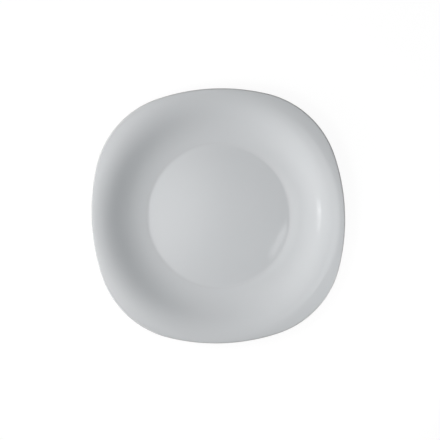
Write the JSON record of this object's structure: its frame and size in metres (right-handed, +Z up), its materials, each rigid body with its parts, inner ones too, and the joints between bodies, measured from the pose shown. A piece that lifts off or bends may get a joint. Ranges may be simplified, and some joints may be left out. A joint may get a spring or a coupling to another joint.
{
  "type": "square dinner plate",
  "caption": "Softly square dinner plate with bowed sides, a rising rim that turns level at its edge, a round shallow well and a bare foot ring under it.",
  "frame": {"origin": "middle of the plane that the foot ring stands on, which is the bottom centre of the bounding box", "axes": "+Z up, out of the face; X and Y run square to the plate's four bowed sides, and the corners lie on the diagonals"},
  "size_m": [0.27, 0.27, 0.022],
  "materials": {
    "bisque": "bare fired porcelain, matt and slightly rough",
    "glaze": "glossy cool grey-white glaze, plain and even",
    "underside_glaze": "the same glossy glaze under the floor, a little thinner in the fillet"
  },
  "bodies": {
    "root": {"porcelain_body": "bisque", "face_glaze": "glaze", "underside_glaze": "underside_glaze"}
  },
  "joints": []
}
